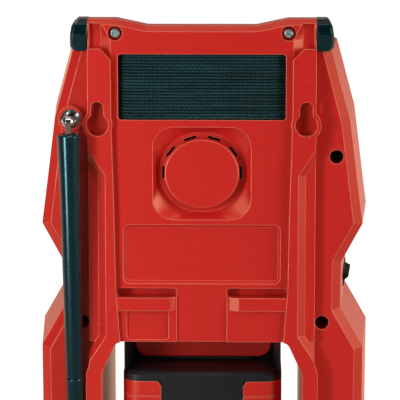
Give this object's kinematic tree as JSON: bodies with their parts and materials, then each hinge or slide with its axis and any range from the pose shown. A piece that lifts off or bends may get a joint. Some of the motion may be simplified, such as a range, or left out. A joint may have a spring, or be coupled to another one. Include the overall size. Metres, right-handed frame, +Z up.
{
  "type": "jobsite radio",
  "caption": "Rugged portable radio seen from its back: red moulded case on legs, side antenna, elastic strap, wall keyholes and a slide-in battery.",
  "frame": {"origin": "on the ground under the middle of the overall footprint, antenna folded down", "axes": "+X to the right of someone who faces the front panel, +Y towards the back with the antenna and keyholes, +Z up"},
  "size_m": [0.1656, 0.1368, 0.2289],
  "materials": {
    "red_plastic": "satin",
    "black_plastic": "satin",
    "panel_plastic": "satin",
    "black_rubber": "matte",
    "webbing": "woven",
    "zinc_steel": "satin",
    "chrome": "polished",
    "grille_steel": "satin",
    "clear_lens": "gloss",
    "display": "gloss",
    "circuit_board": "satin",
    "tin_plate": "satin",
    "heat_sink_metal": "satin",
    "brass": "satin",
    "magnet_iron": "matte",
    "cone_cloth": "matte",
    "cell_wrap": "satin"
  },
  "bodies": {
    "case": {"main_housing": "red_plastic", "front_housing": "red_plastic", "rear_cover": "red_plastic", "cover_screws": "zinc_steel", "pillar_screws": "zinc_steel", "strap_retainer": "black_plastic", "strap_bars": "zinc_steel", "strap": "webbing", "bumper_right": "black_rubber", "bumper_left": "black_rubber", "feet": "black_rubber", "front_panel": "panel_plastic", "speaker_grille": "grille_steel", "display_lens": "clear_lens", "display_module": "display", "key_board": "circuit_board", "key_switches": "black_plastic", "encoders": "zinc_steel", "speaker_frame": "grille_steel", "speaker_cone": "cone_cloth", "speaker_magnet": "magnet_iron", "speaker_screws": "zinc_steel", "main_board": "circuit_board", "board_screws": "zinc_steel", "tuner_can": "tin_plate", "heat_sink": "heat_sink_metal", "capacitors": "black_plastic", "port_board": "circuit_board", "aux_jack": "black_plastic", "usb_socket": "tin_plate", "battery_holder": "red_plastic", "holder_screws": "zinc_steel", "terminal_block": "black_plastic", "terminal_blades": "brass"},
    "antenna_base": {"antenna_swivel": "chrome", "antenna_nut": "zinc_steel", "antenna_pin": "chrome"},
    "antenna_arm": {"antenna_blade": "chrome", "antenna_sleeve": "black_rubber", "antenna_tip": "black_rubber"},
    "battery": {"battery_top_case": "black_plastic", "battery_bottom_case": "black_plastic", "battery_side_panels": "red_plastic", "battery_end_plate": "red_plastic", "battery_screws": "zinc_steel", "battery_cells": "cell_wrap"},
    "battery_release": {"battery_latch": "black_plastic", "battery_button": "red_plastic"},
    "volume_knob": {"volume_knob": "black_rubber", "volume_shaft": "zinc_steel"},
    "tuning_knob": {"tuning_knob": "black_rubber", "tuning_shaft": "zinc_steel"},
    "port_cover": {"port_cover": "black_rubber"},
    "button_power": {"button_power": "red_plastic"},
    "button_source": {"button_source": "panel_plastic"},
    "button_band": {"button_band": "panel_plastic"},
    "button_preset_one": {"button_preset_one": "panel_plastic"},
    "button_preset_two": {"button_preset_two": "panel_plastic"}
  },
  "joints": [
    {"name": "antenna_swing", "type": "hinge", "parent": "case", "child": "antenna_base", "pos_m": [0.0626, 0.063, 0.1812], "axis": [0, -1, 0], "range_deg": [0, 180]},
    {"name": "antenna_fold", "type": "hinge", "parent": "antenna_base", "child": "antenna_arm", "pos_m": [0.0626, 0.063, 0.1812], "axis": [0.9999, 0, -0.0105], "range_deg": [0, 93]},
    {"name": "battery_slide", "type": "slide", "parent": "case", "child": "battery", "axis": [0, 1, 0], "range_m": [0, 0.062]},
    {"name": "battery_release", "type": "slide", "parent": "battery", "child": "battery_release", "axis": [0, 0, -1], "range_m": [0, 0.003], "stiffness_N_per_m": 500, "springref_m": -0.001},
    {"name": "volume_turn", "type": "hinge", "parent": "case", "child": "volume_knob", "pos_m": [0.0365, -0.06, 0.17], "axis": [0, 1, 0], "range_deg": [-150, 150]},
    {"name": "tuning_turn", "type": "hinge", "parent": "case", "child": "tuning_knob", "pos_m": [-0.0365, -0.06, 0.17], "axis": [0, 1, 0], "continuous": true},
    {"name": "port_cover_hinge", "type": "hinge", "parent": "case", "child": "port_cover", "pos_m": [-0.06998, -0.00303, 0.1016], "axis": [0.0724, 0.9974, 0], "range_deg": [0, 120]},
    {"name": "press_power", "type": "slide", "parent": "case", "child": "button_power", "axis": [0, 1, 0], "range_m": [0, 0.0012], "stiffness_N_per_m": 600, "springref_m": -0.0005},
    {"name": "press_source", "type": "slide", "parent": "case", "child": "button_source", "axis": [0, 1, 0], "range_m": [0, 0.0012], "stiffness_N_per_m": 600, "springref_m": -0.0005},
    {"name": "press_band", "type": "slide", "parent": "case", "child": "button_band", "axis": [0, 1, 0], "range_m": [0, 0.0012], "stiffness_N_per_m": 600, "springref_m": -0.0005},
    {"name": "press_preset_one", "type": "slide", "parent": "case", "child": "button_preset_one", "axis": [0, 1, 0], "range_m": [0, 0.0012], "stiffness_N_per_m": 600, "springref_m": -0.0005},
    {"name": "press_preset_two", "type": "slide", "parent": "case", "child": "button_preset_two", "axis": [0, 1, 0], "range_m": [0, 0.0012], "stiffness_N_per_m": 600, "springref_m": -0.0005}
  ]
}
